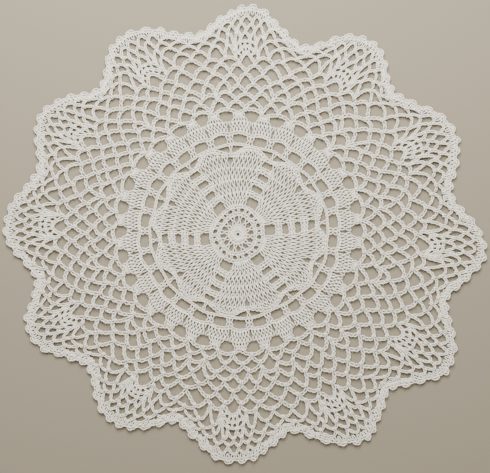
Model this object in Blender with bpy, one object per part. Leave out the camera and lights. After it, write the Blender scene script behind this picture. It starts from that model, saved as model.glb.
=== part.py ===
"""A round crochet lace doily with twelve points, lying flat.

The doily is one thin sheet in one piece. Its outline has twelve uneven points edged with small
picots. Its larger gaps are cut through: the flower's holes and ladders at the centre, the mesh ring,
the openings between the fans, and the looped net, which is cut at about twice its real pitch.
Lengths and angles below are in millimetres and degrees, and become metres in sheet_curve.
"""
import math

import bpy

MM = 0.001

# The whole sheet
SHEET_THICKNESS = 2.0

# The twelve points of the edge, counter-clockwise, seen from above and measured from the flower's
# centre: where each tip and the valley after it lie, and how far out they reach.
POINT_COLUMNS = ("tip_angle", "tip_reach", "valley_angle", "valley_reach")
POINT_ROWS = (
    (25.0, 156.5, 42.0, 138.0),
    (56.0, 152.9, 71.5, 129.6),
    (88.0, 149.0, 102.0, 132.5),
    (119.7, 150.4, 133.5, 131.5),
    (148.0, 150.6, 163.0, 137.2),
    (177.5, 152.9, 192.0, 135.1),
    (205.5, 151.0, 221.0, 130.7),
    (236.5, 148.2, 252.0, 128.7),
    (269.3, 149.5, 284.5, 132.8),
    (301.5, 157.2, 314.0, 141.2),
    (328.0, 162.8, 342.5, 142.5),
    (356.0, 161.3, 371.0, 141.3),
)
POINTS = [dict(zip(POINT_COLUMNS, row)) for row in POINT_ROWS]
POINT_COUNT = len(POINTS)
POINT_PITCH = 360.0 / POINT_COUNT
FIRST_TIP = 27.5            # where the first tip would stand on an even doily
TIP_FULLNESS = 1.6          # 2 is an even wave, and less has fuller tips and sharper valleys

# The picots along the edge
PICOTS_PER_POINT = 10
PICOT_HEIGHT = 2.2
PICOT_PROFILE = ((0.0, 0.0), (0.33, 1.0), (0.67, 1.0))   # place in its pitch, share of its height

# The flower at the centre: six petals parted by ladders, each petal split in two at its tip
PETAL_COUNT = 6
PETAL_PITCH = 360.0 / PETAL_COUNT
FIRST_LADDER = 6.5
EYE_RADIUS, EYE_WIDTH, EYE_LENGTH = 21.4, 9.0, 6.8       # the hole at the foot of each ladder
EYE_SIDES = 10
LADDER_RADII = (30.5, 38.9, 47.5)
LADDER_GAP_WIDTH, LADDER_GAP_LENGTH = 6.0, 4.2
LADDER_GAP_SIDES = 6
NOTCH_INNER, NOTCH_OUTER, NOTCH_WIDTH = 44.5, 50.5, 4.6  # the notch between a petal's two lobes
NOTCH_SHOULDER, NOTCH_MOUTH = 0.7, 0.7                   # how far out it is widest, how wide its mouth is
CORNER_INNER, CORNER_OUTER = 51.8, 56.2                  # gaps beside the posts outside the lobes
CORNER_NEAR, CORNER_FAR = 1.3, 9.6                       # their sides, in degrees from the post
CORNER_BEND_ALONG, CORNER_BEND_OUT = 0.55, 0.3           # where a lobe's round edge bends their inner side

# The rings round the flower, which lie a little off its centre and are a little less high than wide
RING_COUNT = 30
RING_PITCH = 360.0 / RING_COUNT
RING_SHIFT_X, RING_SHIFT_Y = 0.8, 2.0
RING_SQUASH = 0.03
SHIFT_STARTS, SHIFT_FULL, SHIFT_HOLDS, SHIFT_ENDS = 22.0, 54.0, 80.0, 125.0
MESH_RADIUS, MESH_WIDTH, MESH_LENGTH = 61.6, 9.4, 6.2    # the oval cells
MESH_SIDES = 8
FAN_GAP_INNER, FAN_GAP_SHOULDER, FAN_GAP_OUTER = 72.4, 77.8, 80.6
FAN_GAP_WIDTH = 10.0
FAN_GAP_MOUTH = 0.6         # its outer side, as a share of its width

# The net between the fans and the edge: rows of six-sided holes, each row half a hole along
NET_INNER = 82.9
NET_ROWS = 5
NET_ROW_PITCH = 0.178       # a share of the way from NET_INNER to the edge
NET_FIRST_ROW = 0.62        # the first row's middle, in row pitches
HOLES_PER_POINT = 3
NET_STRAND = 3.2


def ease(low, high, value):
    """0 below low, 1 above high and a smooth rise between them."""
    share = min(max((value - low) / (high - low), 0.0), 1.0)
    return share * share * (3.0 - 2.0 * share)


def mix(first, second, share):
    return first + (second - first) * share


def peak(along):
    """1 at a tip, 0 in a valley. along counts points round the edge, with a tip at each whole number."""
    away = abs(along - round(along))
    return max(math.cos(math.pi * away), 0.0) ** TIP_FULLNESS


def edge_reach(along):
    """How far out the picots' tips lie."""
    index = math.floor(along)
    here = POINTS[index % POINT_COUNT]
    after = POINTS[(index + 1) % POINT_COUNT]
    tip = here if along - index < 0.5 else after
    return mix(here["valley_reach"], tip["tip_reach"], peak(along))


def edge_angle(along):
    """The direction of a place on the uneven edge."""
    index = math.floor(along)
    here = POINTS[index % POINT_COUNT]
    after = POINTS[(index + 1) % POINT_COUNT]
    share = 2.0 * (along - index)
    turn = 360.0 * (index // POINT_COUNT)
    if share < 1.0:
        return turn + mix(here["tip_angle"], here["valley_angle"], share)
    turn_after = 360.0 if (index + 1) % POINT_COUNT == 0 else 0.0
    return turn + mix(here["valley_angle"], after["tip_angle"] + turn_after, share - 1.0)


def at(angle, radius):
    """A place in the flower or the rings."""
    shift = ease(SHIFT_STARTS, SHIFT_FULL, radius) * (1.0 - ease(SHIFT_HOLDS, SHIFT_ENDS, radius))
    turn = math.radians(angle)
    across = radius * math.cos(turn) + RING_SHIFT_X * shift
    return (across, radius * (1.0 - RING_SQUASH * shift) * math.sin(turn) + RING_SHIFT_Y * shift)


def net_at(along, share):
    """A place in the net, share of the way from its inner ring to the edge."""
    even_angle = FIRST_TIP + POINT_PITCH * along
    return at(mix(even_angle, edge_angle(along), share), mix(NET_INNER, edge_reach(along), share))


def shrink(corners, distance):
    """The corners, each moved towards their middle by a distance."""
    middle_x = sum(x for x, y in corners) / len(corners)
    middle_y = sum(y for x, y in corners) / len(corners)
    moved = []
    for x, y in corners:
        keep = 1.0 - distance / math.hypot(x - middle_x, y - middle_y)
        moved.append((mix(middle_x, x, keep), mix(middle_y, y, keep)))
    return moved


def outline():
    """The edge with its picots."""
    corners = []
    for picot in range(POINT_COUNT * PICOTS_PER_POINT):
        for place, height in PICOT_PROFILE:
            along = (picot + place) / PICOTS_PER_POINT
            radius = edge_reach(along) - PICOT_HEIGHT * (1.0 - height)
            corners.append(at(edge_angle(along), radius))
    return corners


def rounded_hole(angle, radius, width, length, sides):
    """An oval hole, its width across the radius and its length along it."""
    corners = []
    for side in range(sides):
        turn = 2.0 * math.pi * (side + 0.5) / sides
        sideways = math.degrees(0.5 * width * math.cos(turn) / radius)
        corners.append(at(angle + sideways, radius + 0.5 * length * math.sin(turn)))
    return corners


def flower_holes():
    """The eyes, the ladders, the notches in the petals and the gaps outside their lobes."""
    holes = []
    half_width = math.degrees(0.5 * NOTCH_WIDTH / NOTCH_OUTER)
    half_mouth = NOTCH_MOUTH * half_width
    shoulder = mix(NOTCH_INNER, NOTCH_OUTER, NOTCH_SHOULDER)
    bend = mix(CORNER_INNER, CORNER_OUTER, CORNER_BEND_OUT)
    for petal in range(PETAL_COUNT):
        ladder = FIRST_LADDER + PETAL_PITCH * petal
        notch = ladder + 0.5 * PETAL_PITCH
        holes.append(rounded_hole(ladder, EYE_RADIUS, EYE_WIDTH, EYE_LENGTH, EYE_SIDES))
        for radius in LADDER_RADII:
            holes.append(rounded_hole(ladder, radius, LADDER_GAP_WIDTH, LADDER_GAP_LENGTH, LADDER_GAP_SIDES))
        holes.append([
            at(notch, NOTCH_INNER), at(notch + half_width, shoulder), at(notch + half_mouth, NOTCH_OUTER),
            at(notch - half_mouth, NOTCH_OUTER), at(notch - half_width, shoulder)])
        for post in (ladder, notch):
            for side in (1.0, -1.0):
                near = post + side * CORNER_NEAR
                far = post + side * CORNER_FAR
                holes.append([
                    at(near, CORNER_INNER), at(near, CORNER_OUTER), at(far, CORNER_OUTER),
                    at(mix(near, far, CORNER_BEND_ALONG), bend)])
    return holes


def ring_holes():
    """The mesh ring's cells and the openings between the fans."""
    holes = []
    for step in range(RING_COUNT):
        angle = RING_PITCH * (step + 0.5)
        holes.append(rounded_hole(angle, MESH_RADIUS, MESH_WIDTH, MESH_LENGTH, MESH_SIDES))
    half_gap = math.degrees(0.5 * FAN_GAP_WIDTH / FAN_GAP_OUTER)
    half_mouth = FAN_GAP_MOUTH * half_gap
    for step in range(RING_COUNT):
        angle = RING_PITCH * step
        holes.append([
            at(angle, FAN_GAP_INNER), at(angle + half_gap, FAN_GAP_SHOULDER),
            at(angle + half_mouth, FAN_GAP_OUTER), at(angle - half_mouth, FAN_GAP_OUTER),
            at(angle - half_gap, FAN_GAP_SHOULDER)])
    return holes


def net_holes():
    """Six-sided holes in rows that follow the edge, each hole over the strand between two below it."""
    holes = []
    half_hole = 0.5 / HOLES_PER_POINT
    shoulder = NET_ROW_PITCH / 3.0
    for row in range(NET_ROWS):
        middle = NET_ROW_PITCH * (row + NET_FIRST_ROW)
        stagger = half_hole * (row % 2)
        for step in range(POINT_COUNT * HOLES_PER_POINT):
            along = step / HOLES_PER_POINT + stagger
            corners = [
                net_at(along, middle - 2.0 * shoulder), net_at(along + half_hole, middle - shoulder),
                net_at(along + half_hole, middle + shoulder), net_at(along, middle + 2.0 * shoulder),
                net_at(along - half_hole, middle + shoulder), net_at(along - half_hole, middle - shoulder)]
            holes.append(shrink(corners, 0.5 * NET_STRAND))
    return holes


def sheet_curve(name, edge, holes):
    """A flat filled curve with holes, standing on the ground and centred over the origin."""
    middle_x = 0.5 * (min(x for x, y in edge) + max(x for x, y in edge))
    middle_y = 0.5 * (min(y for x, y in edge) + max(y for x, y in edge))
    curve = bpy.data.curves.new(name, "CURVE")
    curve.dimensions = "2D"
    curve.fill_mode = "BOTH"
    curve.extrude = 0.5 * SHEET_THICKNESS * MM
    for corners in [edge] + holes:
        spline = curve.splines.new("POLY")
        spline.points.add(len(corners) - 1)
        spline.use_cyclic_u = True
        for point, (x, y) in zip(spline.points, corners):
            point.co = ((x - middle_x) * MM, (y - middle_y) * MM, 0.0, 1.0)
    sheet = bpy.data.objects.new(name, curve)
    sheet.location.z = 0.5 * SHEET_THICKNESS * MM
    return sheet


def cotton():
    """Undyed off-white cotton thread."""
    material = bpy.data.materials.new("cotton")
    material.use_nodes = True
    shader = material.node_tree.nodes["Principled BSDF"]
    shader.inputs["Base Color"].default_value = (0.66, 0.61, 0.52, 1.0)
    shader.inputs["Roughness"].default_value = 0.9
    shader.inputs["Metallic"].default_value = 0.0
    return material


def main():
    for item in list(bpy.data.objects):
        bpy.data.objects.remove(item)
    collection = bpy.data.collections.new("lace doily")
    bpy.context.scene.collection.children.link(collection)
    doily = sheet_curve("doily", outline(), flower_holes() + ring_holes() + net_holes())
    doily.data.materials.append(cotton())
    collection.objects.link(doily)


main()
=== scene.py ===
"""The looks of the lace doily: its crochet, stitch by stitch, in rounded cotton thread.

The doily is worked in the round from the flower at its centre. Chains, double crochets and single
crochets are laid along the rounds as the path that their thread takes, and a tube is swept along it.
Lengths in the tables and functions are in millimetres and angles in degrees, as in the solid sheet's
own source, and they are measured from the flower's centre. They become metres in thread_object.
"""
import math
import random

import bpy
import numpy as np
from bpy.props import FloatProperty, FloatVectorProperty, IntProperty, PointerProperty
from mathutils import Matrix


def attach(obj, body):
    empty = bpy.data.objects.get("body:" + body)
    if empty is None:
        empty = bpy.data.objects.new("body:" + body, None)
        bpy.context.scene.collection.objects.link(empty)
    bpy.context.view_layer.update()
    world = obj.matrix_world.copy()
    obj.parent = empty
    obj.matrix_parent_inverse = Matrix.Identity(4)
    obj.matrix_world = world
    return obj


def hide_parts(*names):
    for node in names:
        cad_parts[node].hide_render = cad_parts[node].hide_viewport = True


bl_info = {
    "name": "Lace Doily",
    "version": (1, 0, 0),
    "blender": (4, 5, 0),
    "location": "3D View > Sidebar > Doily",
    "description": "Crochets a round lace doily with twelve points, stitch by stitch",
    "category": "Add Mesh",
}

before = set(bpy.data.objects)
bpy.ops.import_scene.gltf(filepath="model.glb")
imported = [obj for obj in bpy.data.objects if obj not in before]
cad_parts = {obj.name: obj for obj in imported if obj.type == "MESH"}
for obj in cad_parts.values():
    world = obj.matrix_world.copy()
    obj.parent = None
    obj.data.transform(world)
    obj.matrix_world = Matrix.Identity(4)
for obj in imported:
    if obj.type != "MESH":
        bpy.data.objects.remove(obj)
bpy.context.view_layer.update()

MM = 0.001
NODE = "doily"
BODY = "root"

# The twelve points of the edge, counter-clockwise: where each tip and the valley after it lie, and
# how far out they reach, as in the solid sheet
POINT_COLUMNS = ("tip_angle", "tip_reach", "valley_angle", "valley_reach")
POINT_ROWS = (
    (25.0, 156.5, 42.0, 138.0),
    (56.0, 152.9, 71.5, 129.6),
    (88.0, 149.0, 102.0, 132.5),
    (119.7, 150.4, 133.5, 131.5),
    (148.0, 150.6, 163.0, 137.2),
    (177.5, 152.9, 192.0, 135.1),
    (205.5, 151.0, 221.0, 130.7),
    (236.5, 148.2, 252.0, 128.7),
    (269.3, 149.5, 284.5, 132.8),
    (301.5, 157.2, 314.0, 141.2),
    (328.0, 162.8, 342.5, 142.5),
    (356.0, 161.3, 371.0, 141.3),
)
POINTS = [dict(zip(POINT_COLUMNS, row)) for row in POINT_ROWS]
POINT_COUNT = len(POINTS)
POINT_PITCH = 360.0 / POINT_COUNT
FIRST_TIP = 27.5            # where the first tip would be if all were evenly spaced
TIP_FULLNESS = 1.6          # 1 is a plain cosine, and more makes slimmer tips
PICOTS_PER_POINT = 10
PICOT_HEIGHT = 2.2
PICOT_CORNERS = (0.33, 0.67)    # where a picot's tip starts and ends in its pitch, as in the solid sheet

# The rings lie a little off the flower's centre and are a little less high than wide. This grows between
# the first two radii here, holds up to the third and has gone at the fourth.
RING_SHIFT_X, RING_SHIFT_Y = 0.8, 2.0
RING_SQUASH = 0.03
SHIFT_STARTS, SHIFT_FULL, SHIFT_HOLDS, SHIFT_ENDS = 22.0, 54.0, 80.0, 125.0

# The centre of the flower: its four rings of chain, and the foot, head and width of the posts between them
FIRST_RING, SECOND_RING, SPOKE_RING, BUTTON_RING = 2.3, 5.2, 12.2, 17.0
SPOKES = 12
FIRST_SPOKE = 21.5
HUB_FOOT, HUB_HEAD, HUB_WIDTH = 2.5, 4.8, 1.9
SPOKE_FOOT, SPOKE_HEAD, SPOKE_WIDTH = 5.6, 11.7, 3.3
BUTTON_PAIRS = 12
BUTTON_PAIR_SPREAD = 6.0    # half the angle between the two posts of a pair
BUTTON_FOOT, BUTTON_HEAD, BUTTON_WIDTH = 12.6, 16.7, 2.8

# The petals' rows of double crochets: the radii of foot and head, and the angles from the petal's
# middle at which the first and the last stitch have their foot and their head
PETAL_COUNT = 6
PETAL_PITCH = 360.0 / PETAL_COUNT
FIRST_LADDER = 6.5
PETAL_COLUMNS = ("foot", "head", "foot_from", "foot_to", "head_from", "head_to", "stitches")
PETAL_ROWS = (
    (17.8, 27.3, -13.5, 13.5, -21.0, 21.0, 8),
    (27.3, 35.1, -21.0, 21.0, -22.9, 22.9, 10),
    (35.1, 42.9, -22.9, 22.9, -24.3, 24.3, 13),
    (42.9, 50.6, 1.9, 24.3, 4.0, 25.2, 7),
    (42.9, 50.6, -24.3, -1.9, -25.2, -4.0, 7),
)
LADDER_COLUMNS = ("radius", "apart", "half_angle")
LADDER_ROWS = (
    (26.5, 1.9, 11.0),
    (34.8, 2.1, 8.6),
    (43.1, 2.2, 7.0),
)
LOBE_FOOT = 50.6
LOBE_BRIDGE = 5.6           # half the chain between two lobes, in degrees
LOBE_COLUMNS = ("foot_angle", "head_angle", "head")
LOBE_ROWS = (
    (-10.3, -8.6, 52.2),
    (-7.4, -6.0, 54.0),
    (-4.5, -3.6, 55.2),
    (-1.5, -1.2, 55.8),
    (1.5, 1.2, 55.8),
    (4.5, 3.6, 55.2),
    (7.4, 6.0, 54.0),
    (10.3, 8.6, 52.2),
)
LOBE_EDGE = (               # angles from the lobe's middle and radii of the chain round it
    (-12.9, 50.9), (-9.0, 52.4), (-5.4, 54.9), (0.0, 56.1), (5.4, 54.9), (9.0, 52.4), (12.9, 50.9),
)
LOBE_POST_HEAD = 56.7       # of the post between two lobes
LOBE_RING = 57.3

# The rings round the flower. Steps are the angles between stitches.
RING_COUNT = 30
RING_PITCH = 360.0 / RING_COUNT
MESH_FOOT, MESH_HEAD, MESH_RING = 58.0, 63.2, 65.6
MESH_DIP = 1.7              # how far the ring dips to the posts between its arches
MESH_POST_SPREAD, MESH_POST_WIDTH = 1.0, 3.2
BAND_LIFT, BAND_RING = 0.5, 73.4
BAND_STITCHES = 6
BAND_FOOT_STEP, BAND_HEAD_STEP = 1.7, 1.95
BAND_DIP = 0.5
FAN_HEAD = 78.4
FAN_STITCHES = 5
FAN_FOOT_STEP, FAN_HEAD_STEP = 1.5, 0.8

# The net: one row for each round of looped chains. Tops are a share of the way from NET_START to the
# edge, at a tip and in a valley, and knots lie along one point, which counts as 1 from tip to tip.
NET_START = 81.0
FIRST_LOOPS_TOP = 81.9
NET_COLUMNS = ("tip_top", "valley_top", "knots")
NET_ROWS = (
    (0.094, 0.124, (0.0, 0.25, 0.5, 0.75)),
    (0.177, 0.229, (0.125, 0.375, 0.625, 0.875)),
    (0.261, 0.336, (0.0, 0.2, 0.4, 0.6, 0.8)),
    (0.347, 0.445, (0.095, 0.29, 0.5, 0.71, 0.905)),
    (0.428, 0.550, (0.0, 0.18, 0.39, 0.61, 0.82)),
    (0.500, 0.660, (0.09, 0.285, 0.5, 0.715, 0.91)),
    (0.660, 0.760, (0.125, 0.235, 0.4, 0.6, 0.765, 0.875)),
    (0.743, 0.830, (0.045, 0.11, 0.19, 0.33, 0.5, 0.67, 0.81, 0.89, 0.955)),
    (0.824, 0.888, (0.0, 0.085, 0.17, 0.28, 0.42, 0.58, 0.72, 0.83, 0.915)),
    (0.905, 0.935, (0.045, 0.13, 0.225, 0.35, 0.5, 0.65, 0.775, 0.87, 0.955)),
)
TIP_LOOP_ROUND = 5          # the round whose loop on each tip's axis stands taller
TIP_LOOP_RISE = 0.045       # and by how much, as a share like the tops
TIP_AXIS = 0.97             # a loop whose middle has at least this much of the tip's peak is on its axis
NET_ROUNDS = [dict(zip(NET_COLUMNS, row)) for row in NET_ROWS]
LOOP_FULLNESS = 2.0         # 1 is a pointed loop, 2 a round one and more is squarer
SHELL_FULLNESS = 7.0        # of the loop over each shell
LOOP_SAMPLES = 17           # places along a loop's line
FIRST_LOOPS_STEPS = 50      # steps to a point along the first loops' line
NET_STEPS = 120             # and along the lines that sheets are measured between
KNOT_LIFT = 1.25            # how far out of the strand below a knot's chains leave it
KNOT_REACH = 1.1            # how far along a knot's chains start
KNOT_REACH_LIMIT = 0.3      # and the most that can be, as a share of the loop's length
OUTWARD_STEP = 0.02         # a small step outwards, to find a knot's direction
INNER_ROUNDS = 3            # rounds in the inner net
SHELL_ROUND = 6             # the round that has a shell of tall stitches at each tip
EDGE_ROUND = 8              # the first of the last rounds, which carry the edging
SHELL_COLUMNS = ("stitches", "foot", "head", "foot_spread", "head_spread")
SHELL_ROWS = (
    (5, 0.0, 0.55, 0.05, 0.095),
    (5, 0.6, 1.0, 0.09, 0.11),
)
SHELL_LINE = 0.57           # the chain between the shell's two rows, as a share of the shell's height
SHELL_LINE_SPREAD = 0.1
FINE_WIDTH = 2.2            # chains and posts in the points are a little narrower
FINE_STITCH = 3.2           # and their chain stitches a little longer

# The edge: a solid band of short stitches with small picots
EDGE_STEPS = 80             # steps to a point along the edge's lines
BAND_PER_PICOT = 3
EDGE_LINE = 0.75            # the band's head lies this far inside the picots' line
EDGE_BAND = 3.2             # and its stitches are this tall
BAND_WIDTH = 2.5
PICOT_FOOT = 0.3            # the picots start this far inside their line
PICOT_SPREAD = 0.25         # half a picot's foot, as a share of the picots' pitch
PICOT_WIDTH = 2.5
PICOT_SAMPLES = 9

# Stitches, as the places that their thread passes. A chain's are in stitch lengths, in widths of its
# two legs and in thread thicknesses. A post's are in widths, in shares of its height and in
# thicknesses. A knot's are in thicknesses from the middle of the strand that it holds.
CHAIN_STITCH = (
    (0.00, -0.15, -0.50), (0.35, -0.38, 0.20), (0.80, -0.50, 0.40), (1.15, -0.30, 0.10),
    (1.30, 0.00, -0.30), (1.15, 0.30, 0.10), (0.80, 0.50, 0.40), (0.35, 0.38, 0.20),
    (0.00, 0.15, -0.50), (0.50, 0.10, -0.90),
)
TALL_POST = (
    (-0.05, 0.86, -0.60), (-0.42, 1.04, 0.10), (-0.50, 0.90, 0.55), (-0.40, 0.74, 0.50),
    (-0.28, 0.60, 0.40), (0.05, 0.49, 1.00), (0.33, 0.38, 0.45), (0.38, 0.24, 0.30),
    (0.48, 0.08, 0.30), (0.28, -0.07, -0.30), (0.00, -0.10, -0.80), (-0.28, -0.07, -0.30),
    (-0.48, 0.08, 0.30), (-0.38, 0.24, 0.30), (-0.31, 0.40, 0.00), (0.05, 0.50, -0.50),
    (0.28, 0.62, 0.10), (0.40, 0.75, 0.50), (0.50, 0.90, 0.55), (0.42, 1.04, 0.10),
    (0.05, 0.98, -0.50),
)
SHORT_POST = (
    (0.00, 0.10, 0.20), (0.00, 0.50, 0.60), (0.10, 0.95, 0.20), (0.42, 1.02, 0.00),
    (0.48, 0.62, 0.50), (0.45, 0.05, 0.50), (0.28, -0.25, -0.30), (0.00, 0.00, -0.90),
    (-0.28, -0.25, -0.30), (-0.45, 0.05, 0.50), (-0.48, 0.62, 0.50), (-0.40, 1.02, -0.30),
)
BAND_POST = (
    (-0.10, 0.90, -0.40), (-0.42, 1.03, 0.10), (-0.50, 0.75, 0.50), (-0.42, 0.25, 0.30),
    (-0.25, -0.10, -0.30), (0.25, -0.10, -0.30), (0.42, 0.25, 0.30), (0.50, 0.75, 0.50),
    (0.42, 1.03, 0.10), (0.10, 0.90, -0.40),
)
KNOT = (
    (-1.00, 1.80, 0.50), (-0.65, 0.70, 1.20), (-0.58, -0.90, 0.95), (-0.55, -1.45, -0.10),
    (-0.45, -0.60, -1.20), (0.00, 0.75, -1.25), (0.45, -0.60, -1.20), (0.55, -1.45, -0.10),
    (0.58, -0.90, 0.95), (0.65, 0.70, 1.20), (1.00, 1.80, 0.50),
)

# How much stitches differ by chance
CHAIN_ROLL = 0.35           # a chain stitch's roll about its line, in radians
POST_WIDENING = 0.08        # a post's width, as a share of it
POST_LEAN = 0.12            # how far a post's head stands to the side
KNOT_SHIFT = 0.08           # a knot's place, as a share of the loop after it

# The lace is not quite even: slow waves in its plane, each with its length, its shift and its turn
WAVE_COLUMNS = ("length", "shift", "turn", "phase")
WAVE_ROWS = (
    (61.0, 0.60, 20.0, 0.4),
    (43.0, 0.50, 95.0, 1.9),
    (27.0, 0.45, 150.0, 3.1),
    (19.0, 0.35, 55.0, 4.4),
    (13.0, 0.22, 118.0, 5.2),
)
WAVES = [dict(zip(WAVE_COLUMNS, row)) for row in WAVE_ROWS]
HEIGHT_WAVE = 0.12          # the waves' height, as a share of their shift
MIDDLE_HEIGHT = 1.6         # of the lace over the floor
LOOK = 0.4                  # how far ahead and behind a line's direction is measured
STEEP_START = 0.9           # a tube that starts as upright as this starts its normals from x, not z

# The cotton's shading: its plies, fibres and tone, and the painted shade that its grooves and low places take
PLIES, TWISTS = 3.0, 0.45               # plies of the thread, and its turns in a millimetre
FIBRES_ROUND, FIBRES_ALONG = 9.0, 0.6   # how fine the fibres are round the thread and along it
FIBRE_SCALE, FIBRE_DETAIL = 2.0, 3.0
TONE_SCALE, TONE_DETAIL = 90.0, 4.0
TONE_DARKEST, TONE_LIGHTEST = 0.93, 1.05
# Painted shade of low places: darkest below the first height and gone above the second
PAINTED_SHADE_BOTTOM, PAINTED_SHADE_TOP = 0.2, 1.5      # heights between which the shade of low places fades out
# Painted shade in the grooves between the plies
PAINTED_GROOVE_SHADE, PAINTED_LOW_SHADE = 0.35, 0.65    # the most shade that grooves and low places take

# The stage, in metres: the key light stands beyond the photograph's top edge, turned towards the middle
FLOOR_SIZE = 4.0
KEY_PLACE = (-0.03, 0.44, 0.48)
KEY_TILT = -42.0
KEY_SIZE = 0.5
SKY_COLOUR = (1.0, 0.99, 0.97, 1.0)
CAMERA_X, CAMERA_Y = 0.0003, -0.0010
SENSOR_WIDTH = 36.0


def length_property(name, description, default):
    """A length, whose default is given in millimetres."""
    return FloatProperty(
        name=name, description=description, default=default * MM, min=0.01 * MM, precision=6, unit="LENGTH")


def share_property(name, description, default):
    """A share between 0 and 1."""
    return FloatProperty(
        name=name, description=description, default=default, min=0.0, max=1.0, subtype="FACTOR")


def colour_property(name, description, default):
    """A colour in linear red, green and blue."""
    return FloatVectorProperty(
        name=name, description=description, default=default, min=0.0, max=1.0, size=3, subtype="COLOR")


class ThreadSizes(bpy.types.PropertyGroup):
    """The cotton thread and the crocheter's tension."""

    diameter: length_property("Thread", "Width of the cotton thread", 0.84)
    flatness: share_property("Flatness", "Height of the pressed thread as a share of its width", 0.66)
    chain_width: length_property("Chain Width", "Overall width of a chain", 2.8)
    chain_stitch: length_property("Chain Stitch", "Length of one chain stitch", 2.7)
    post_width: length_property("Post Width", "Overall width of a double crochet's post", 2.8)
    unevenness: share_property("Unevenness", "How much the loops differ from each other", 0.12)
    sides: IntProperty(name="Sides", description="Sides of the thread's tube", default=5, min=3, max=12)
    detail: FloatProperty(
        name="Detail", description="Rings of the tube for each place that a stitch's thread passes",
        default=1.24, min=0.5, max=6.0)
    seed: IntProperty(name="Seed", description="Changes the small differences between stitches", default=7)


class CottonFinish(bpy.types.PropertyGroup):
    """The undyed cotton."""

    colour: colour_property("Cotton", "Colour of the thread's top", (0.85, 0.80, 0.685))
    # The painted shade: the colour put between the plies and low in the stitches where real shade would fall
    painted_shade: colour_property("Shade", "Colour between the plies and low in the stitches", (0.47, 0.38, 0.23))
    roughness: share_property("Roughness", "How matt the cotton is", 0.88)
    sheen: share_property("Sheen", "The soft light caught by loose fibres", 0.25)
    twist: length_property("Twist", "Height of the plies' bump", 0.06)
    fuzz: length_property("Fuzz", "Height of the fibres' bump", 0.04)


class StudioSetup(bpy.types.PropertyGroup):
    """The floor, the lights and the camera straight above."""

    floor: colour_property("Floor", "Colour of the plain floor", (0.235, 0.20, 0.14))
    height: FloatProperty(
        name="Camera Height", description="Height of the camera over the doily", default=0.75, unit="LENGTH")
    lens: FloatProperty(name="Lens", description="Focal length in millimetres", default=85.0, min=10.0)
    key: FloatProperty(name="Key Light", description="Power of the large key light in watts", default=12.5)
    fill: FloatProperty(name="Fill Light", description="Strength of the light from all round", default=0.55)


def ease(low, high, value):
    """0 below low, 1 above high and a smooth rise between them."""
    share = min(max((value - low) / (high - low), 0.0), 1.0)
    return share * share * (3.0 - 2.0 * share)


def mix(first, second, share):
    """The value that lies share of the way from first to second."""
    return first + (second - first) * share


def peak(along):
    """1 at a tip, 0 in a valley. along counts points round the edge, with a tip at each whole number."""
    away = abs(along - round(along))
    return max(math.cos(math.pi * away), 0.0) ** TIP_FULLNESS


def edge_reach(along):
    """How far out the picots' tips lie."""
    index = math.floor(along)
    here = POINTS[index % POINT_COUNT]
    after = POINTS[(index + 1) % POINT_COUNT]
    tip = here if along - index < 0.5 else after
    return mix(here["valley_reach"], tip["tip_reach"], peak(along))


def edge_angle(along):
    """The direction of a place on the uneven edge."""
    index = math.floor(along)
    here = POINTS[index % POINT_COUNT]
    after = POINTS[(index + 1) % POINT_COUNT]
    share = 2.0 * (along - index)
    turn = 360.0 * (index // POINT_COUNT)
    if share < 1.0:
        return turn + mix(here["tip_angle"], here["valley_angle"], share)
    turn_after = 360.0 if (index + 1) % POINT_COUNT == 0 else 0.0
    return turn + mix(here["valley_angle"], after["tip_angle"] + turn_after, share - 1.0)


def at(angle, radius):
    """A place in the flower or the rings."""
    shift = ease(SHIFT_STARTS, SHIFT_FULL, radius) * (1.0 - ease(SHIFT_HOLDS, SHIFT_ENDS, radius))
    turn = math.radians(angle)
    across = radius * math.cos(turn) + RING_SHIFT_X * shift
    return (across, radius * (1.0 - RING_SQUASH * shift) * math.sin(turn) + RING_SHIFT_Y * shift)


def net_at(along, share):
    """A place in the net, share of the way from NET_START to the edge."""
    even_angle = FIRST_TIP + POINT_PITCH * along
    return at(mix(even_angle, edge_angle(along), share), mix(NET_START, edge_reach(along), share))


def all_round(steps):
    """Places all round the edge, with so many steps to a point."""
    return np.linspace(0.0, POINT_COUNT, POINT_COUNT * steps + 1)


def net_line(share_at, steps=NET_STEPS):
    """The line that a round of the net follows."""
    return np.array([net_at(along, share_at(along)) for along in all_round(steps)])


def flower_centre():
    """The flower's centre in the frame, whose origin is the middle of the edge's box."""
    corners = []
    for picot in range(POINT_COUNT * PICOTS_PER_POINT):
        for place in PICOT_CORNERS:
            along = (picot + place) / PICOTS_PER_POINT
            corners.append(at(edge_angle(along), edge_reach(along)))
    corners = np.array(corners)
    return -0.5 * (corners.min(axis=0) + corners.max(axis=0))


def circle_line(radius_at, first=0.0, turn=360.0, samples=360):
    """A line round the centre, whose radius is worked out from the angle."""
    return np.array([
        at(first + turn * step / samples, radius_at(first + turn * step / samples))
        for step in range(samples + 1)])


def unit(vectors):
    """The vectors at a length of 1."""
    return vectors / np.maximum(np.linalg.norm(vectors, axis=-1, keepdims=True), 1e-9)


def walked_along(line):
    """How far along a line each of its places lies."""
    return np.concatenate(([0.0], np.cumsum(np.linalg.norm(np.diff(line, axis=0), axis=1))))


def walk(line, distances):
    """Places and directions at distances along a line, carried straight on past its ends."""
    walked = walked_along(line)
    inside = np.clip(distances, 0.0, walked[-1])
    place, ahead, behind = [
        np.column_stack([np.interp(np.clip(spot, 0.0, walked[-1]), walked, line[:, axis]) for axis in (0, 1)])
        for spot in (inside, inside + LOOK, inside - LOOK)]
    direction = unit(ahead - behind)
    return place + direction * (distances - inside)[:, None], direction


def line_length(line):
    """A line's whole length."""
    return float(np.linalg.norm(np.diff(line, axis=0), axis=1).sum())


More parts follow.
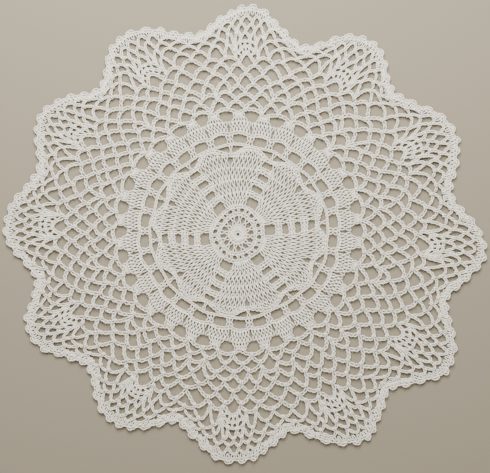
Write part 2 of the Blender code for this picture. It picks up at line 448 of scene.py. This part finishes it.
class Yarn:
    """The runs of thread that make up one piece."""

    def __init__(self, sizes, seed):
        self.thread = sizes.diameter / MM
        self.flatness = sizes.flatness
        self.chain_legs = (sizes.chain_width - sizes.diameter) / MM
        self.chain_stitch = sizes.chain_stitch / MM
        self.post_legs = (sizes.post_width - sizes.diameter) / MM
        self.unevenness = sizes.unevenness
        self.sides = sizes.sides
        self.detail = sizes.detail
        self.random = random.Random(sizes.seed * 1000 + seed)
        self.runs = []

    def vary(self, amount):
        """A small difference by chance, up to amount either way."""
        return self.random.uniform(-amount, amount)

    def start(self):
        """Starts a new run of thread."""
        self.runs.append([])

    def pass_through(self, places):
        """Leads the run on through places."""
        self.runs[-1].append(places)

    def chain(self, line):
        """Chain stitches along a line."""
        length = line_length(line)
        count = max(round(length / self.chain_stitch), 1)
        pattern = np.tile(np.array(CHAIN_STITCH), (count, 1))
        stitch = np.repeat(np.arange(count), len(CHAIN_STITCH))
        place, direction = walk(line, (stitch + pattern[:, 0]) * length / count)
        roll = np.array([self.vary(CHAIN_ROLL) for step in range(count)])[stitch]
        across = pattern[:, 1] * self.chain_legs
        height = pattern[:, 2] * self.thread
        left = np.column_stack((-direction[:, 1], direction[:, 0]))
        flat = place + left * (across * np.cos(roll) - height * np.sin(roll))[:, None]
        self.pass_through(np.column_stack((flat, across * np.sin(roll) + height * np.cos(roll))))

    def post(self, foot, head, pattern=TALL_POST, width=None):
        """A stitch that stands between two rounds, as a run of its own."""
        foot, head = np.array(foot), np.array(head)
        keys = np.array(pattern)
        legs = (self.post_legs if width is None else width - self.thread) * (1.0 + self.vary(POST_WIDENING))
        up = head - foot
        right = unit(np.array([up[1], -up[0]]))
        lean = self.vary(POST_LEAN) * right
        flat = foot + keys[:, 1:2] * (up + lean) + right * keys[:, 0:1] * legs
        self.start()
        self.pass_through(np.column_stack((flat, keys[:, 2] * self.thread)))

    def knot(self, place, outward):
        """A single crochet over the strand below."""
        keys = np.array(KNOT) * self.thread
        along = np.array([outward[1], -outward[0]])
        flat = place + keys[:, 0:1] * -along + keys[:, 1:2] * outward
        self.pass_through(np.column_stack((flat, keys[:, 2])))

    def rings(self, run):
        """How many rings the tube of a run has."""
        return int((sum(len(places) for places in run) - 1) * self.detail) + 1


def run_of_chain(yarn, line):
    """Chain stitches along a line, as a run of their own."""
    yarn.start()
    yarn.chain(line)


def row_of_posts(yarn, middle, row):
    """Double crochets side by side from one round to the next."""
    count = row["stitches"]
    for step in range(count):
        share = step / (count - 1)
        foot = at(middle + mix(row["foot_from"], row["foot_to"], share), row["foot"])
        yarn.post(foot, at(middle + mix(row["head_from"], row["head_to"], share), row["head"]))


def ring_of_posts(yarn, count, first, foot, head, pattern, width):
    """Posts all round between two radii, from the angle first on."""
    for step in range(count):
        angle = first + 360.0 * step / count
        yarn.post(at(angle, foot), at(angle, head), pattern, width)


def crochet_centre(yarn):
    """Four rings of chain with a round of posts between each two."""
    run_of_chain(yarn, circle_line(lambda angle: FIRST_RING, samples=24))
    ring_of_posts(yarn, SPOKES, FIRST_SPOKE, HUB_FOOT, HUB_HEAD, SHORT_POST, HUB_WIDTH)
    run_of_chain(yarn, circle_line(lambda angle: SECOND_RING, samples=48))
    ring_of_posts(yarn, SPOKES, FIRST_SPOKE, SPOKE_FOOT, SPOKE_HEAD, TALL_POST, SPOKE_WIDTH)
    run_of_chain(yarn, circle_line(lambda angle: SPOKE_RING, samples=96))
    for first in (FIRST_LADDER - BUTTON_PAIR_SPREAD, FIRST_LADDER + BUTTON_PAIR_SPREAD):
        ring_of_posts(yarn, BUTTON_PAIRS, first, BUTTON_FOOT, BUTTON_HEAD, TALL_POST, BUTTON_WIDTH)
    run_of_chain(yarn, circle_line(lambda angle: BUTTON_RING, samples=120))


def crochet_petals(yarn):
    """The six petals and the rungs of the ladders between them."""
    rows = [dict(zip(PETAL_COLUMNS, row)) for row in PETAL_ROWS]
    rungs = [dict(zip(LADDER_COLUMNS, row)) for row in LADDER_ROWS]
    for petal in range(PETAL_COUNT):
        ladder = FIRST_LADDER + PETAL_PITCH * petal
        for row in rows:
            row_of_posts(yarn, ladder + 0.5 * PETAL_PITCH, row)
        for rung in rungs:
            for side in (-0.5, 0.5):
                radius = rung["radius"] + side * rung["apart"]
                half = rung["half_angle"]
                run_of_chain(yarn, circle_line(lambda angle: radius, ladder - half, 2.0 * half, samples=24))


def crochet_lobes(yarn):
    """The twelve lobes with the chain round each, and the posts between them."""
    lobe = [dict(zip(LOBE_COLUMNS, row)) for row in LOBE_ROWS]
    edge_angles, edge_radii = zip(*LOBE_EDGE)
    for step in range(2 * PETAL_COUNT):
        axis = FIRST_LADDER + 0.5 * PETAL_PITCH * step
        middle = axis + 0.25 * PETAL_PITCH
        yarn.post(at(axis, LOBE_FOOT), at(axis, LOBE_POST_HEAD))
        run_of_chain(yarn, circle_line(
            lambda angle: LOBE_FOOT, axis - LOBE_BRIDGE, 2.0 * LOBE_BRIDGE, samples=16))
        for stitch in lobe:
            foot = at(middle + stitch["foot_angle"], LOBE_FOOT)
            yarn.post(foot, at(middle + stitch["head_angle"], stitch["head"]))
        run_of_chain(yarn, circle_line(
            lambda angle: float(np.interp(angle - middle, edge_angles, edge_radii)),
            middle + edge_angles[0], edge_angles[-1] - edge_angles[0], samples=40))


def crochet_flower(yarn):
    """The centre, the six petals with their ladders, their twelve lobes and the ring round them."""
    crochet_centre(yarn)
    crochet_petals(yarn)
    crochet_lobes(yarn)
    yarn.chain_legs = FINE_WIDTH - yarn.thread
    run_of_chain(yarn, circle_line(lambda angle: LOBE_RING))


def scalloped(angle, radius, dip):
    """A ring of arches that dip to the thirty places between the fans."""
    away = abs(angle / RING_PITCH - round(angle / RING_PITCH)) * 2.0
    return radius - dip * (1.0 - away) ** 2


def mesh_radius(angle):
    """The head of the mesh ring's cells."""
    return scalloped(angle, MESH_RING, MESH_DIP)


def band_radius(angle):
    """The head of the solid band."""
    return scalloped(angle, BAND_RING, BAND_DIP)


def crochet_fan_ring(yarn):
    """The mesh ring, the solid band and the thirty fans."""
    spread = math.degrees(MESH_POST_SPREAD / MESH_RING)
    for step in range(RING_COUNT):
        for angle in (RING_PITCH * step - spread, RING_PITCH * step + spread):
            yarn.post(at(angle, MESH_FOOT), at(angle, MESH_HEAD), TALL_POST, MESH_POST_WIDTH)
    run_of_chain(yarn, circle_line(mesh_radius))
    for step in range(RING_COUNT):
        middle = RING_PITCH * (step + 0.5)
        for stitch in range(BAND_STITCHES):
            place = stitch - 0.5 * (BAND_STITCHES - 1)
            foot, head = middle + place * BAND_FOOT_STEP, middle + place * BAND_HEAD_STEP
            yarn.post(at(foot, mesh_radius(foot) + BAND_LIFT), at(head, band_radius(head)))
        for stitch in range(FAN_STITCHES):
            place = stitch - 0.5 * (FAN_STITCHES - 1)
            foot = middle + place * FAN_FOOT_STEP
            yarn.post(at(foot, band_radius(foot)), at(middle + place * FAN_HEAD_STEP, FAN_HEAD))


def first_loops_share(along):
    """The first round of loops, which spans the openings between the fans."""
    steps = (FIRST_TIP + POINT_PITCH * along) / RING_PITCH
    away = 2.0 * abs(steps - round(steps))
    radius = mix(FIRST_LOOPS_TOP, FAN_HEAD, away ** LOOP_FULLNESS)
    return (radius - NET_START) / (edge_reach(along) - NET_START)


class LoopRound:
    """One round of looped chains, whose knots sit on the round below."""

    def __init__(self, settings, below, yarn):
        self.below = below
        self.knots = []
        for point in range(POINT_COUNT):
            for place in settings["knots"]:
                self.knots.append(point + place)
        self.knots = [
            knot + yarn.vary(KNOT_SHIFT) * self.pitch(index) for index, knot in enumerate(self.knots)]
        self.feet = [below(knot) for knot in self.knots]
        self.tops = []
        self.fullness = []
        for index, knot in enumerate(self.knots):
            middle = 0.5 * (knot + self.next_knot(index))
            top = mix(settings["valley_top"], settings["tip_top"], peak(middle))
            depth = top - below(middle)
            on_axis = peak(middle) > TIP_AXIS
            if on_axis and settings is NET_ROUNDS[TIP_LOOP_ROUND]:
                top += TIP_LOOP_RISE
            over_shell = on_axis and settings is NET_ROUNDS[SHELL_ROUND]
            self.fullness.append(SHELL_FULLNESS if over_shell else LOOP_FULLNESS)
            self.tops.append(top + depth * yarn.vary(yarn.unevenness))

    def next_knot(self, index):
        """Where the knot after knot number index lies."""
        if index + 1 < len(self.knots):
            return self.knots[index + 1]
        return self.knots[0] + POINT_COUNT

    def pitch(self, index):
        """How far it is from knot number index to the next."""
        return self.next_knot(index) - self.knots[index]

    def share_in(self, index, along):
        """How far out loop number index lies."""
        first, last = self.knots[index], self.next_knot(index)
        lift = KNOT_LIFT / (edge_reach(along) - NET_START)
        start, end = self.feet[index] + lift, self.feet[(index + 1) % len(self.feet)] + lift
        share = (along - first) / (last - first)
        rise = max(self.tops[index] - 0.5 * (start + end), 0.0)
        return mix(start, end, share) + rise * (1.0 - abs(2.0 * share - 1.0) ** self.fullness[index])

    def __call__(self, along):
        """How far out this round lies at any place along the edge."""
        wrapped = (along - self.knots[0]) % POINT_COUNT + self.knots[0]
        index = int(np.searchsorted(self.knots, wrapped, side="right")) - 1
        return self.share_in(index, wrapped)


def crochet_loops(yarn, loops):
    """The loops of one round, with a knot on the round below between each two."""
    yarn.start()
    for index, knot in enumerate(loops.knots):
        last = loops.next_knot(index)
        place = np.array(net_at(knot, loops.below(knot)))
        beyond = np.array(net_at(knot, loops.below(knot) + OUTWARD_STEP))
        yarn.knot(place, unit(beyond - place))
        line = np.array([
            net_at(along, loops.share_in(index, along))
            for along in np.linspace(knot, last, LOOP_SAMPLES)])
        length = line_length(line)
        start = min(KNOT_REACH, KNOT_REACH_LIMIT * length)
        yarn.chain(walk(line, np.linspace(start, length - start, LOOP_SAMPLES))[0])


def crochet_shells(yarn, loops):
    """A shell of tall stitches on the loop under each tip, and a row of spaced ones on its head."""
    rows = [dict(zip(SHELL_COLUMNS, row)) for row in SHELL_ROWS]

    def shell_at(along, height):
        return net_at(along, mix(loops.below(along), loops(along), height))

    for point in range(POINT_COUNT):
        for row in rows:
            for stitch in range(row["stitches"]):
                place = 2.0 * stitch / (row["stitches"] - 1) - 1.0
                foot = shell_at(point + place * row["foot_spread"], row["foot"])
                head = shell_at(point + place * row["head_spread"], row["head"])
                yarn.post(foot, head, TALL_POST, FINE_WIDTH)
        run_of_chain(yarn, np.array([
            shell_at(point + place, SHELL_LINE)
            for place in np.linspace(-SHELL_LINE_SPREAD, SHELL_LINE_SPREAD, LOOP_SAMPLES)]))


def edge_line_at(along, inset):
    """A place inset from the picots' line, which follows the edge inside their tips."""
    return at(edge_angle(along), edge_reach(along) - PICOT_HEIGHT - inset)


def edge_line(inset):
    """A line that follows the edge all round, inset from the picots' line."""
    return np.array([edge_line_at(along, inset) for along in all_round(EDGE_STEPS)])


def crochet_edging(yarn):
    """The solid band of short stitches on the last round of loops, and the picots on it."""
    picots = POINT_COUNT * PICOTS_PER_POINT
    run_of_chain(yarn, edge_line(EDGE_LINE))
    for step in range(picots * BAND_PER_PICOT):
        along = (step + 0.5) / (PICOTS_PER_POINT * BAND_PER_PICOT)
        foot = edge_line_at(along, EDGE_LINE + EDGE_BAND)
        yarn.post(foot, edge_line_at(along, EDGE_LINE), BAND_POST, BAND_WIDTH)
    yarn.chain_legs = PICOT_WIDTH - yarn.thread
    for picot in range(picots):
        line = []
        for sample in range(PICOT_SAMPLES):
            turn = math.pi * sample / (PICOT_SAMPLES - 1)
            along = (picot + 0.5 - PICOT_SPREAD * math.cos(turn)) / PICOTS_PER_POINT
            line.append(edge_line_at(along, PICOT_FOOT - (PICOT_HEIGHT - PICOT_FOOT) * math.sin(turn)))
        run_of_chain(yarn, np.array(line))


def settle(places, centre):
    """Puts places round the flower's centre into the frame, with the lace's slow waves."""
    settled = np.array(places)
    for wave in WAVES:
        turn = math.radians(wave["turn"])
        along = places[:, 0] * math.cos(turn) + places[:, 1] * math.sin(turn)
        swing = np.sin(2.0 * math.pi * along / wave["length"] + wave["phase"])
        settled[:, 0] -= wave["shift"] * math.sin(turn) * swing
        settled[:, 1] += wave["shift"] * math.cos(turn) * swing
        settled[:, 2] += HEIGHT_WAVE * wave["shift"] * swing
    settled[:, 0] += centre[0]
    settled[:, 1] += centre[1]
    settled[:, 2] += MIDDLE_HEIGHT
    return settled


def smooth_path(keys, count):
    """A smooth line through the places that the thread passes."""
    step = np.linspace(0.0, len(keys) - 1.0, count)
    index = np.minimum(step.astype(int), len(keys) - 2)
    share = (step - index)[:, None]
    padded = np.vstack((2.0 * keys[0] - keys[1], keys, 2.0 * keys[-1] - keys[-2]))
    before, here, after, beyond = (padded[index + offset] for offset in range(4))
    return 0.5 * (
        2.0 * here + (after - before) * share
        + (2.0 * before - 5.0 * here + 4.0 * after - beyond) * share ** 2
        + (3.0 * here - before - 3.0 * after + beyond) * share ** 3)


def carried_normals(tangents):
    """A normal at each place of a path, turned as little as can be from one to the next."""
    normals = []
    nx, ny, nz = 0.0, 0.0, 1.0
    if abs(tangents[0][2]) > STEEP_START:
        nx, nz = 1.0, 0.0
    for tx, ty, tz in tangents.tolist():
        lean = nx * tx + ny * ty + nz * tz
        nx, ny, nz = nx - lean * tx, ny - lean * ty, nz - lean * tz
        size = math.sqrt(nx * nx + ny * ny + nz * nz)
        nx, ny, nz = nx / size, ny / size, nz / size
        normals.append((nx, ny, nz))
    return np.array(normals)


def tube_corners(path, yarn):
    """The rings of a tube round a path, pressed a little flat."""
    turns = 2.0 * math.pi * np.arange(yarn.sides) / yarn.sides
    tangents = unit(np.gradient(path, axis=0))
    normals = carried_normals(tangents)
    others = np.cross(tangents, normals)
    ring = normals[:, None] * np.cos(turns)[None, :, None] + others[:, None] * np.sin(turns)[None, :, None]
    ring[..., 2] *= yarn.flatness
    return (path[:, None] + 0.5 * yarn.thread * ring).reshape(-1, 3)


def tube_faces(first, count, sides):
    """The walls and the two ends of a tube of so many rings, whose corners are numbered from first."""
    starts = first + sides * np.arange(count - 1)[:, None]
    low = (starts + np.arange(sides)).ravel()
    low_next = (starts + (np.arange(sides) + 1) % sides).ravel()
    faces = np.column_stack((low, low_next, low_next + sides, low + sides)).tolist()
    faces.append(list(range(first + sides - 1, first - 1, -1)))
    faces.append(list(range(first + sides * (count - 1), first + sides * count)))
    return faces


def tube_uvs(path, sides):
    """A tube's UV map, face by face: once round it in x, and along it in millimetres in y."""
    along = walked_along(path)
    round_low = np.tile(np.arange(sides) / sides, len(path) - 1)
    round_high = round_low + 1.0 / sides
    along_low = np.repeat(along[:-1], sides)
    along_high = np.repeat(along[1:], sides)
    walls = np.column_stack((
        round_low, along_low, round_high, along_low, round_high, along_high, round_low, along_high))
    return np.concatenate((
        walls.ravel(), np.tile((0.5, along[0]), sides), np.tile((0.5, along[-1]), sides)))


def thread_object(name, yarn, centre):
    """One mesh of closed tubes, one tube for each run of the yarn."""
    vertices, faces, uvs = [], [], []
    first = 0
    for run in yarn.runs:
        path = settle(smooth_path(np.vstack(run), yarn.rings(run)), centre)
        vertices.append(tube_corners(path, yarn))
        faces.extend(tube_faces(first, len(path), yarn.sides))
        uvs.append(tube_uvs(path, yarn.sides))
        first += yarn.sides * len(path)
    mesh = bpy.data.meshes.new(name)
    mesh.from_pydata((np.vstack(vertices) * MM).tolist(), [], faces)
    mesh.uv_layers.new(name="thread").data.foreach_set("uv", np.concatenate(uvs).astype(np.float32))
    mesh.polygons.foreach_set("use_smooth", np.ones(len(mesh.polygons), dtype=bool))
    mesh.update()
    piece = bpy.data.objects.new(name, mesh)
    bpy.context.scene.collection.objects.link(piece)
    return piece


def link_nodes(tree, *pairs):
    """Links each pair of an output and an input."""
    for output, socket in pairs:
        tree.links.new(output, socket)


def math_node(tree, operation, first, second):
    """A Math node, each of whose inputs is a socket or a number."""
    node = tree.nodes.new("ShaderNodeMath")
    node.operation = operation
    for socket, value in zip(node.inputs, (first, second)):
        if isinstance(value, float):
            socket.default_value = value
        else:
            tree.links.new(value, socket)
    return node.outputs["Value"]


def new_group(name, inputs, outputs):
    """A node group that takes and gives plain numbers, with its input and output nodes."""
    group = bpy.data.node_groups.new(name, "ShaderNodeTree")
    for socket_name, value in inputs:
        socket = group.interface.new_socket(socket_name, in_out="INPUT", socket_type="NodeSocketFloat")
        socket.default_value = value
    for socket_name in outputs:
        group.interface.new_socket(socket_name, in_out="OUTPUT", socket_type="NodeSocketFloat")
    return group, group.nodes.new("NodeGroupInput"), group.nodes.new("NodeGroupOutput")


def plied_thread_group():
    """The plies' twist and the loose fibres of a cotton thread, from its own UV map."""
    group = bpy.data.node_groups.get("plied thread")
    if group:
        return group
    group, given, result = new_group("plied thread", (("Plies", PLIES), ("Twists", TWISTS)), ("Ply", "Fibre"))
    uv = group.nodes.new("ShaderNodeUVMap")
    uv.uv_map = "thread"
    split = group.nodes.new("ShaderNodeSeparateXYZ")
    group.links.new(uv.outputs["UV"], split.inputs["Vector"])
    lengthwise = math_node(group, "MULTIPLY", split.outputs["Y"], given.outputs["Twists"])
    turned = math_node(group, "ADD", split.outputs["X"], lengthwise)
    plies = math_node(group, "MULTIPLY", turned, given.outputs["Plies"])
    wave = math_node(group, "PINGPONG", plies, 0.5)
    ply = math_node(group, "POWER", math_node(group, "MULTIPLY", wave, 2.0), 0.5)
    stretched = group.nodes.new("ShaderNodeCombineXYZ")
    link_nodes(
        group, (math_node(group, "MULTIPLY", turned, FIBRES_ROUND), stretched.inputs["X"]),
        (math_node(group, "MULTIPLY", split.outputs["Y"], FIBRES_ALONG), stretched.inputs["Y"]))
    noise = group.nodes.new("ShaderNodeTexNoise")
    noise.inputs["Scale"].default_value = FIBRE_SCALE
    noise.inputs["Detail"].default_value = FIBRE_DETAIL
    link_nodes(
        group, (stretched.outputs["Vector"], noise.inputs["Vector"]), (ply, result.inputs["Ply"]),
        (noise.outputs["Fac"], result.inputs["Fibre"]))
    return group


def low_in_the_lace_group():
    """Which places lie low between the stitches, where the cotton takes a painted shade, and the cotton's
    slow differences in tone.
    """
    group = bpy.data.node_groups.get("low in the lace")
    if group:
        return group
    heights = (("Bottom", PAINTED_SHADE_BOTTOM * MM), ("Top", PAINTED_SHADE_TOP * MM))
    group, given, result = new_group("low in the lace", heights, ("Low", "Tone"))
    place = group.nodes.new("ShaderNodeTexCoord")
    split = group.nodes.new("ShaderNodeSeparateXYZ")
    height = group.nodes.new("ShaderNodeMapRange")
    height.inputs["To Min"].default_value = 1.0
    height.inputs["To Max"].default_value = 0.0
    noise = group.nodes.new("ShaderNodeTexNoise")
    noise.inputs["Scale"].default_value = TONE_SCALE
    noise.inputs["Detail"].default_value = TONE_DETAIL
    link_nodes(
        group, (place.outputs["Object"], split.inputs["Vector"]),
        (split.outputs["Z"], height.inputs["Value"]), (given.outputs["Bottom"], height.inputs["From Min"]),
        (given.outputs["Top"], height.inputs["From Max"]), (height.outputs["Result"], result.inputs["Low"]),
        (place.outputs["Object"], noise.inputs["Vector"]), (noise.outputs["Fac"], result.inputs["Tone"]))
    return group


def placed_group(tree, group):
    """A node group's place in a tree."""
    node = tree.nodes.new("ShaderNodeGroup")
    node.node_tree = group
    return node


def mixed_colour(tree, factor, first, second):
    """A colour mixed from two, each a socket or three numbers."""
    node = tree.nodes.new("ShaderNodeMix")
    node.data_type = "RGBA"
    tree.links.new(factor, node.inputs["Factor"])
    for name, value in (("A", first), ("B", second)):
        socket = [item for item in node.inputs if item.name == name and item.type == "RGBA"][0]
        if hasattr(value, "is_linked"):
            tree.links.new(value, socket)
        else:
            socket.default_value = (*value, 1.0)
    return [item for item in node.outputs if item.type == "RGBA"][0]


def cotton_material(finish):
    """Undyed cotton: matt and plied, with a painted shade, darker and warmer, in the grooves between the
    plies and low between the stitches.
    """
    material = bpy.data.materials.get("crochet cotton")
    if material:
        return material
    material = bpy.data.materials.new("crochet cotton")
    material.use_nodes = True
    tree = material.node_tree
    shader = tree.nodes["Principled BSDF"]
    shader.inputs["Roughness"].default_value = finish.roughness
    shader.inputs["Sheen Weight"].default_value = finish.sheen
    shader.inputs["Sheen Roughness"].default_value = 0.5
    shader.inputs["Specular IOR Level"].default_value = 0.25
    thread = placed_group(tree, plied_thread_group())
    lace = placed_group(tree, low_in_the_lace_group())
    lighter = tuple(min(1.0, TONE_LIGHTEST * part) for part in finish.colour)
    darker = tuple(TONE_DARKEST * part for part in finish.colour)
    toned = mixed_colour(tree, lace.outputs["Tone"], darker, lighter)
    # Painted shade in the grooves between the plies, from the plies' bump
    between_plies = math_node(tree, "SUBTRACT", 1.0, thread.outputs["Ply"])
    painted_groove_shade = math_node(tree, "MULTIPLY", between_plies, PAINTED_GROOVE_SHADE)
    # Painted shade on places low in the lace, by their height over the floor
    painted_low_shade = math_node(tree, "MULTIPLY", lace.outputs["Low"], PAINTED_LOW_SHADE)
    # The painted shade's colour goes over the cotton's by the larger of the two painted shades
    amount = math_node(tree, "MAXIMUM", painted_groove_shade, painted_low_shade)
    tree.links.new(mixed_colour(tree, amount, toned, finish.painted_shade), shader.inputs["Base Color"])
    plies = tree.nodes.new("ShaderNodeBump")
    plies.inputs["Distance"].default_value = finish.twist
    fibres = tree.nodes.new("ShaderNodeBump")
    fibres.inputs["Distance"].default_value = finish.fuzz
    link_nodes(
        tree, (thread.outputs["Ply"], plies.inputs["Height"]),
        (thread.outputs["Fibre"], fibres.inputs["Height"]),
        (plies.outputs["Normal"], fibres.inputs["Normal"]),
        (fibres.outputs["Normal"], shader.inputs["Normal"]))
    return material


def thread_piece(name, yarn):
    """Makes a piece from its yarn, and says what it rides on and replaces."""
    piece = thread_object(name, yarn, flower_centre())
    piece.data.materials.append(cotton_material(bpy.context.scene.doily_cotton))
    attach(piece, BODY)
    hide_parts(NODE)
    return piece


def finish_piece(name, yarn, flat):
    """Makes a sheet of lace from its yarn; flat, its size laid out flat, is not used."""
    piece = thread_piece(name, yarn)


def mean_radius(line):
    """The radius of the circle that encloses the same area as a line."""
    ahead = np.roll(line, -1, axis=0)
    area = 0.5 * abs(float((line[:, 0] * ahead[:, 1] - line[:, 1] * ahead[:, 0]).sum()))
    return math.sqrt(area / math.pi)


def strip(inner_line, outer_line):
    """The ring between two lines laid out flat: its width across, mean length round and area."""
    inner, outer = mean_radius(inner_line), mean_radius(outer_line)
    length = math.pi * (inner + outer)
    width = outer - inner
    return width, length, width * length


def disc(line):
    """The round piece inside a line laid out flat: its width, its length and its area."""
    radius = mean_radius(line)
    return 2.0 * radius, 2.0 * radius, math.pi * radius ** 2


def flower_line():
    """Where the flower ends and the ring of fans begins."""
    return circle_line(lambda angle: 0.5 * (LOBE_RING + MESH_FOOT))


def fans_line():
    """Where the ring of fans ends and the net begins."""
    return circle_line(lambda angle: FAN_HEAD)


def net_rounds(sizes):
    """All the rounds of the net, each with the yarn that its small differences were drawn from."""
    rounds = []
    below = first_loops_share
    for index, settings in enumerate(NET_ROUNDS):
        below = LoopRound(settings, below, Yarn(sizes, 100 + index))
        rounds.append(below)
    return rounds


class DOILY_OT_flower(bpy.types.Operator):
    """Crochet the flower at the centre: six petals parted by ladders of chains"""

    bl_idname = "doily.flower"
    bl_label = "Flower"

    def execute(self, context):
        yarn = Yarn(context.scene.doily_thread, 1)
        crochet_flower(yarn)
        finish_piece("flower", yarn, disc(flower_line()))
        return {"FINISHED"}


class DOILY_OT_fan_ring(bpy.types.Operator):
    """Crochet the mesh ring, the solid band and the thirty fans"""

    bl_idname = "doily.fan_ring"
    bl_label = "Ring of Fans"

    def execute(self, context):
        yarn = Yarn(context.scene.doily_thread, 2)
        crochet_fan_ring(yarn)
        finish_piece("ring_of_fans", yarn, strip(flower_line(), fans_line()))
        return {"FINISHED"}


class DOILY_OT_inner_net(bpy.types.Operator):
    """Crochet the first four rounds of loops"""

    bl_idname = "doily.inner_net"
    bl_label = "Inner Net"

    def execute(self, context):
        sizes = context.scene.doily_thread
        yarn = Yarn(sizes, 3)
        run_of_chain(yarn, net_line(first_loops_share, FIRST_LOOPS_STEPS))
        rounds = net_rounds(sizes)[:INNER_ROUNDS]
        for loops in rounds:
            crochet_loops(yarn, loops)
        finish_piece("inner_net", yarn, strip(fans_line(), net_line(rounds[-1])))
        return {"FINISHED"}


class DOILY_OT_outer_net(bpy.types.Operator):
    """Crochet the next three rounds of loops"""

    bl_idname = "doily.outer_net"
    bl_label = "Outer Net"

    def execute(self, context):
        sizes = context.scene.doily_thread
        yarn = Yarn(sizes, 4)
        rounds = net_rounds(sizes)[INNER_ROUNDS:SHELL_ROUND]
        for loops in rounds:
            crochet_loops(yarn, loops)
        finish_piece("outer_net", yarn, strip(net_line(rounds[0].below), net_line(rounds[-1])))
        return {"FINISHED"}


class DOILY_OT_point_rounds(bpy.types.Operator):
    """Crochet the shells at the tips and the rounds that build up the points"""

    bl_idname = "doily.point_rounds"
    bl_label = "Points"

    def execute(self, context):
        sizes = context.scene.doily_thread
        yarn = Yarn(sizes, 5)
        over_shells, after = net_rounds(sizes)[SHELL_ROUND:EDGE_ROUND]
        yarn.chain_legs = FINE_WIDTH - yarn.thread
        yarn.chain_stitch = FINE_STITCH
        crochet_shells(yarn, over_shells)
        crochet_loops(yarn, over_shells)
        crochet_loops(yarn, after)
        finish_piece("points", yarn, strip(net_line(over_shells.below), net_line(after)))
        return {"FINISHED"}


class DOILY_OT_picot_edge(bpy.types.Operator):
    """Crochet the last rounds of loops and the picot edging on them"""

    bl_idname = "doily.picot_edge"
    bl_label = "Picot Edge"

    def execute(self, context):
        sizes = context.scene.doily_thread
        edging_yarn = Yarn(sizes, 7)
        crochet_edging(edging_yarn)
        edging = thread_piece("picot_edging", edging_yarn)
        yarn = Yarn(sizes, 6)
        yarn.chain_legs = FINE_WIDTH - yarn.thread
        yarn.chain_stitch = FINE_STITCH
        rounds = net_rounds(sizes)[EDGE_ROUND:]
        for loops in rounds:
            crochet_loops(yarn, loops)
        finish_piece("edge_loops", yarn, strip(net_line(rounds[0].below), edge_line(0.0)))
        return {"FINISHED"}


def plain_material(name, colour):
    """A matt material of one colour."""
    material = bpy.data.materials.new(name)
    material.use_nodes = True
    shader = material.node_tree.nodes["Principled BSDF"]
    shader.inputs["Base Color"].default_value = (*colour, 1.0)
    shader.inputs["Roughness"].default_value = 0.9
    return material


class DOILY_OT_stage(bpy.types.Operator):
    """Set up the plain floor, the soft studio light and the camera straight above"""

    bl_idname = "doily.stage"
    bl_label = "Stage"

    def execute(self, context):
        setup = context.scene.doily_studio
        bpy.ops.mesh.primitive_plane_add(size=FLOOR_SIZE)
        floor = context.object
        floor.name = "floor"
        floor.data.materials.append(plain_material("floor", setup.floor))
        bpy.ops.object.light_add(type="AREA", location=KEY_PLACE)
        key = context.object
        key.data.shape = "DISK"
        key.data.size = KEY_SIZE
        key.data.energy = setup.key
        key.rotation_euler = (math.radians(KEY_TILT), 0.0, 0.0)
        world = context.scene.world or bpy.data.worlds.new("studio")
        context.scene.world = world
        world.use_nodes = True
        sky = world.node_tree.nodes["Background"]
        sky.inputs["Color"].default_value = SKY_COLOUR
        sky.inputs["Strength"].default_value = setup.fill
        bpy.ops.object.camera_add(location=(CAMERA_X, CAMERA_Y, setup.height), rotation=(0.0, 0.0, 0.0))
        camera = context.object
        camera.data.lens = setup.lens
        camera.data.sensor_width = SENSOR_WIDTH
        context.scene.camera = camera
        return {"FINISHED"}


OPERATORS = (
    DOILY_OT_flower, DOILY_OT_fan_ring, DOILY_OT_inner_net, DOILY_OT_outer_net, DOILY_OT_point_rounds,
    DOILY_OT_picot_edge, DOILY_OT_stage,
)


class DOILY_PT_sidebar(bpy.types.Panel):
    """The doily's sizes and finish, and a button for each piece"""

    bl_idname = "DOILY_PT_sidebar"
    bl_label = "Lace Doily"
    bl_space_type = "VIEW_3D"
    bl_region_type = "UI"
    bl_category = "Doily"

    def draw(self, context):
        scene = context.scene
        for settings in (scene.doily_thread, scene.doily_cotton, scene.doily_studio):
            box = self.layout.box()
            for name in settings.bl_rna.properties.keys():
                if name not in ("rna_type", "name"):
                    box.prop(settings, name)
        for operator in OPERATORS:
            self.layout.operator(operator.bl_idname)


CLASSES = (ThreadSizes, CottonFinish, StudioSetup) + OPERATORS + (DOILY_PT_sidebar,)


def register():
    for item in CLASSES:
        bpy.utils.register_class(item)
    bpy.types.Scene.doily_thread = PointerProperty(type=ThreadSizes)
    bpy.types.Scene.doily_cotton = PointerProperty(type=CottonFinish)
    bpy.types.Scene.doily_studio = PointerProperty(type=StudioSetup)


def unregister():
    del bpy.types.Scene.doily_thread
    del bpy.types.Scene.doily_cotton
    del bpy.types.Scene.doily_studio
    for item in reversed(CLASSES):
        bpy.utils.unregister_class(item)


def main():
    register()
    bpy.ops.doily.flower()
    bpy.ops.doily.fan_ring()
    bpy.ops.doily.inner_net()
    bpy.ops.doily.outer_net()
    bpy.ops.doily.point_rounds()
    bpy.ops.doily.picot_edge()
    bpy.ops.doily.stage()


if __name__ == "__main__":
    main()
